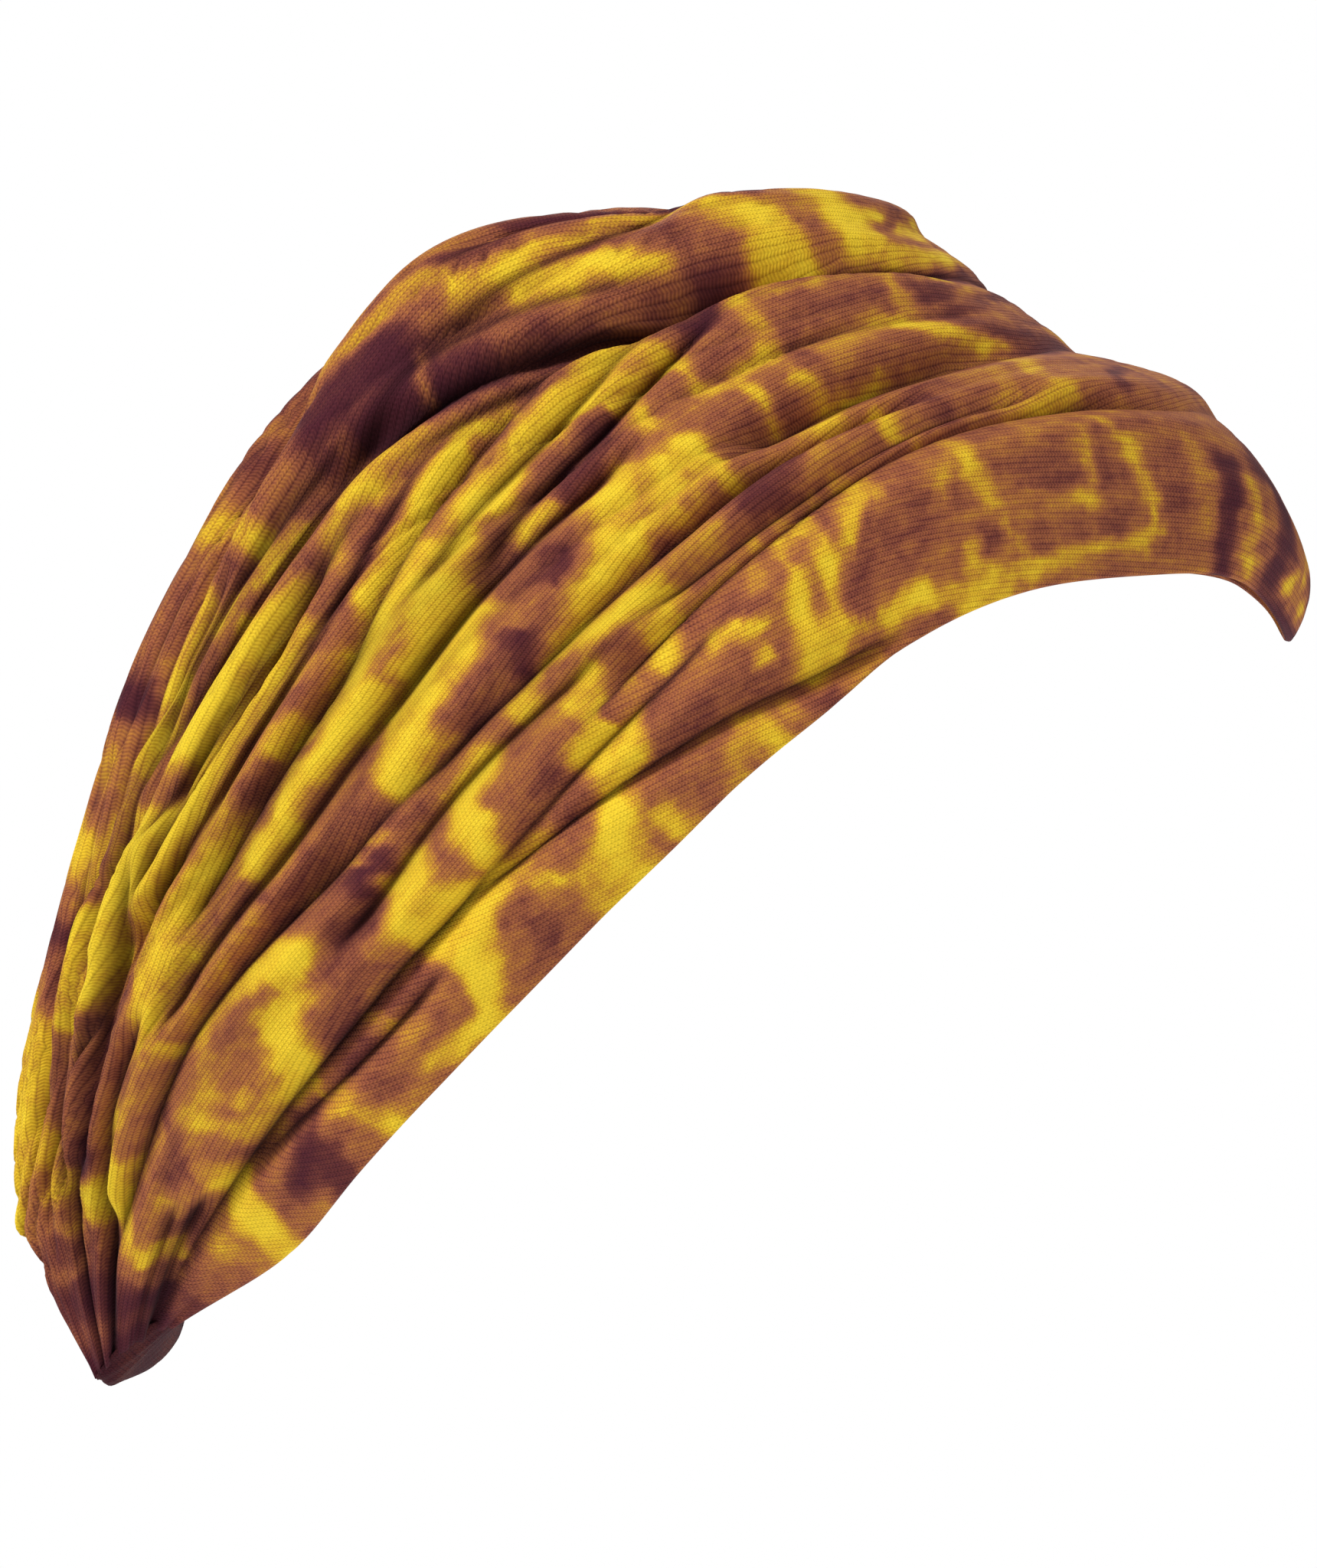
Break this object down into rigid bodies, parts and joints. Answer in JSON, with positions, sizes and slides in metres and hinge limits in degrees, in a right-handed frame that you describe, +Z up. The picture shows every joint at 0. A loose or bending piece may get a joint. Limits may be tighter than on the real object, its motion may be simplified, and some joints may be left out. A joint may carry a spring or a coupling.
{
  "type": "headband",
  "caption": "Wide gathered tie-dye headband of cotton jersey, spread over the crown and drawn into a narrow casing at the nape.",
  "frame": {"origin": "the point on top of the head where the inside of the band rests", "axes": "+Z up, the wearer faces -Y and the wearer's right side is at -X"},
  "size_m": [0.1535, 0.1814, 0.1676],
  "materials": {
    "tie_dye_jersey": "matt knitted cotton, tie-dyed yellow, copper brown and maroon",
    "casing_jersey": "matt knitted cotton, dark maroon"
  },
  "bodies": {
    "root": {"band": "tie_dye_jersey", "nape_casing": "casing_jersey"}
  },
  "joints": []
}
